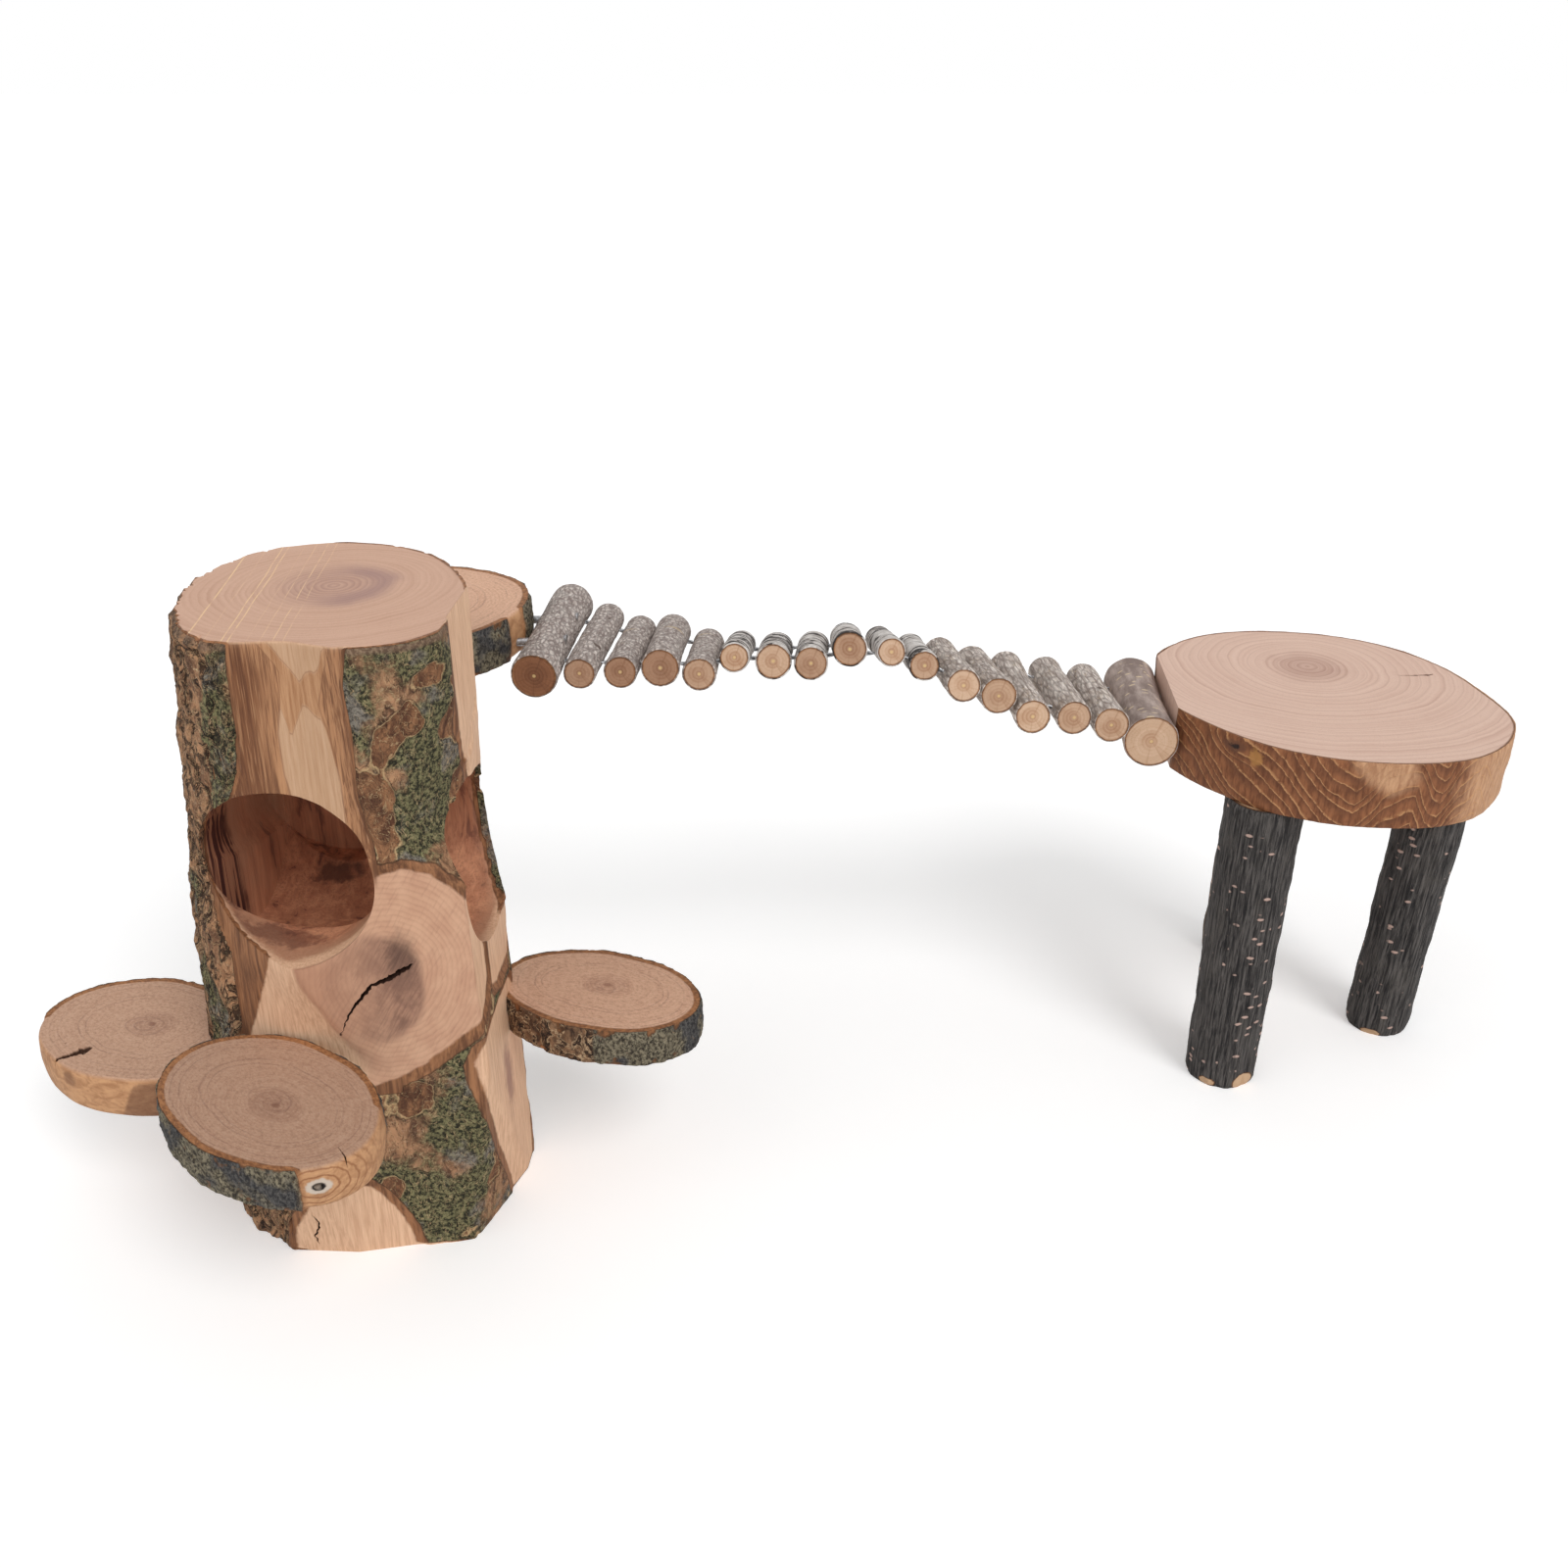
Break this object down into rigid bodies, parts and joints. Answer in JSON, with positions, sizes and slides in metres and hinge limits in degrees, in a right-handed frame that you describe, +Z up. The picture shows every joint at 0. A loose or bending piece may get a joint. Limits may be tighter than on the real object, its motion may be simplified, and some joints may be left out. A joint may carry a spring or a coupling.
{
  "type": "hamster climbing ramp",
  "caption": "Drilled trunk house with slice steps, a wire-strung bridge of round sticks and a three-legged platform, for small rodents.",
  "frame": {"origin": "centre of the trunk's foot, on the floor", "axes": "+X from the trunk along the bridge to the platform, +Y to the back, +Z up"},
  "size_m": [0.613, 0.3081, 0.253],
  "materials": {
    "trunk_wood": "natural trunk: rough bark with peeled and sawn faces",
    "slice_wood": "sawn branch slice with a bark rim",
    "stick_wood": "thin branch with grey bark and sawn ends",
    "stool_wood": "sawn slice with a peeled brown side",
    "leg_wood": "dark branch with ridged bark",
    "dowel_wood": "turned hardwood dowel",
    "wire_steel": "soft iron wire",
    "screw_steel": "zinc plated"
  },
  "bodies": {
    "house": {"trunk_house": "trunk_wood", "step_left": "slice_wood", "step_front": "slice_wood", "step_right": "slice_wood", "step_upper": "slice_wood", "step_left_dowel": "dowel_wood", "step_front_dowel": "dowel_wood", "step_right_dowel": "dowel_wood", "step_upper_dowel": "dowel_wood", "bridge_stick_01": "stick_wood", "house_screw_front": "screw_steel", "house_screw_rear": "screw_steel", "bridge_wire_front": "wire_steel", "bridge_wire_rear": "wire_steel"},
    "stick_02": {"bridge_stick_02": "stick_wood"},
    "stick_03": {"bridge_stick_03": "stick_wood"},
    "stick_04": {"bridge_stick_04": "stick_wood"},
    "stick_05": {"bridge_stick_05": "stick_wood"},
    "stick_06": {"bridge_stick_06": "stick_wood"},
    "stick_07": {"bridge_stick_07": "stick_wood"},
    "stick_08": {"bridge_stick_08": "stick_wood"},
    "stick_09": {"bridge_stick_09": "stick_wood"},
    "stick_10": {"bridge_stick_10": "stick_wood"},
    "stick_11": {"bridge_stick_11": "stick_wood"},
    "stick_12": {"bridge_stick_12": "stick_wood"},
    "stick_13": {"bridge_stick_13": "stick_wood"},
    "stick_14": {"bridge_stick_14": "stick_wood"},
    "stick_15": {"bridge_stick_15": "stick_wood"},
    "stick_16": {"bridge_stick_16": "stick_wood"},
    "stool": {"bridge_stick_17": "stick_wood", "stool_screw_front": "screw_steel", "stool_screw_rear": "screw_steel", "stool_top": "stool_wood", "leg_front": "leg_wood", "leg_right": "leg_wood", "leg_back": "leg_wood", "leg_front_dowel": "dowel_wood", "leg_right_dowel": "dowel_wood", "leg_back_dowel": "dowel_wood"}
  },
  "joints": [
    {"name": "bridge_bend_01", "type": "hinge", "parent": "house", "child": "stick_02", "pos_m": [0.07811, 0.07984, 0.20517], "axis": [0.0472, 0.9987, -0.0204], "range_deg": [-5, 5], "deforming": ["bridge_wire_front", "bridge_wire_rear"]},
    {"name": "bridge_bend_02", "type": "hinge", "parent": "stick_02", "child": "stick_03", "pos_m": [0.09344, 0.08205, 0.20199], "axis": [0.0333, 0.9959, -0.0845], "range_deg": [-5, 5]},
    {"name": "bridge_bend_03", "type": "hinge", "parent": "stick_03", "child": "stick_04", "pos_m": [0.10887, 0.08427, 0.19933], "axis": [0.0209, 0.989, -0.1466], "range_deg": [-5, 5]},
    {"name": "bridge_bend_04", "type": "hinge", "parent": "stick_04", "child": "stick_05", "pos_m": [0.12445, 0.08652, 0.1973], "axis": [0.0151, 0.9827, -0.1845], "range_deg": [-5, 5]},
    {"name": "bridge_bend_05", "type": "hinge", "parent": "stick_05", "child": "stick_06", "pos_m": [0.14003, 0.08877, 0.19587], "axis": [0.0108, 0.9691, -0.2464], "range_deg": [-5, 5]},
    {"name": "bridge_bend_06", "type": "hinge", "parent": "stick_06", "child": "stick_07", "pos_m": [0.15566, 0.09102, 0.19496], "axis": [0.0076, 0.9567, -0.2909], "range_deg": [-5, 5]},
    {"name": "bridge_bend_07", "type": "hinge", "parent": "stick_07", "child": "stick_08", "pos_m": [0.17109, 0.09328, 0.19462], "axis": [0.0184, 0.9595, -0.281], "range_deg": [-5, 5]},
    {"name": "bridge_bend_08", "type": "hinge", "parent": "stick_08", "child": "stick_09", "pos_m": [0.186, 0.09547, 0.1948], "axis": [0.0383, 0.9584, -0.2828], "range_deg": [-5, 5]},
    {"name": "bridge_bend_09", "type": "hinge", "parent": "stick_09", "child": "stick_10", "pos_m": [0.20146, 0.09774, 0.19437], "axis": [0.0147, 0.9565, -0.2913], "range_deg": [-5, 5]},
    {"name": "bridge_bend_10", "type": "hinge", "parent": "stick_10", "child": "stick_11", "pos_m": [0.21563, 0.09971, 0.19205], "axis": [-0.0253, 0.9621, -0.2714], "range_deg": [-5, 5]},
    {"name": "bridge_bend_11", "type": "hinge", "parent": "stick_11", "child": "stick_12", "pos_m": [0.22974, 0.10165, 0.18712], "axis": [-0.0567, 0.9744, -0.2177], "range_deg": [-5, 5]},
    {"name": "bridge_bend_12", "type": "hinge", "parent": "stick_12", "child": "stick_13", "pos_m": [0.24509, 0.10389, 0.18096], "axis": [-0.0796, 0.9813, -0.1755], "range_deg": [-5, 5]},
    {"name": "bridge_bend_13", "type": "hinge", "parent": "stick_13", "child": "stick_14", "pos_m": [0.26045, 0.10612, 0.17543], "axis": [-0.0429, 0.9888, -0.143], "range_deg": [-5, 5]},
    {"name": "bridge_bend_14", "type": "hinge", "parent": "stick_14", "child": "stick_15", "pos_m": [0.27805, 0.10866, 0.17039], "axis": [-0.035, 0.9929, -0.1135], "range_deg": [-5, 5]},
    {"name": "bridge_bend_15", "type": "hinge", "parent": "stick_15", "child": "stick_16", "pos_m": [0.2965, 0.11132, 0.16574], "axis": [-0.01, 0.9923, -0.1234], "range_deg": [-5, 5]},
    {"name": "bridge_bend_16", "type": "hinge", "parent": "stick_16", "child": "stool", "pos_m": [0.31549, 0.11405, 0.16094], "axis": [0.0568, 0.9955, -0.0756], "range_deg": [-5, 5]}
  ]
}
